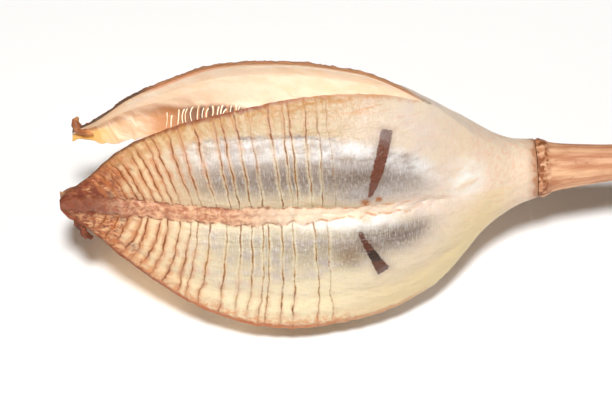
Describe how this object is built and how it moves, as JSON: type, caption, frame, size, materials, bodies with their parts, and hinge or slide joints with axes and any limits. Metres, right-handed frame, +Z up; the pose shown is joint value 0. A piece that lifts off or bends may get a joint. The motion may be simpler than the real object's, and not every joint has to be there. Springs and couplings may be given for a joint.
{
  "type": "tulip seed capsule",
  "caption": "Dried tulip seed capsule lying on its side, split into ribbed papery valves, with a cut stem and a few flat seeds inside.",
  "frame": {"origin": "centre of the object's bounding box in X and Y, at the surface it lies on", "axes": "+X from the valves' tips towards the stem, +Z up off the surface, -Y towards the side that the picture shows"},
  "size_m": [0.0654, 0.0286, 0.0265],
  "materials": {
    "dry_wall": "papery, half gloss, cream with brown veins",
    "stalk": "dry and matte, pinkish brown",
    "seed_coat": "dry and matte, red brown"
  },
  "bodies": {
    "root": {"capsule": "dry_wall", "stem": "stalk", "seed_upper": "seed_coat", "seed_lower": "seed_coat", "seed_middle": "seed_coat", "seed_neck": "seed_coat"}
  },
  "joints": []
}
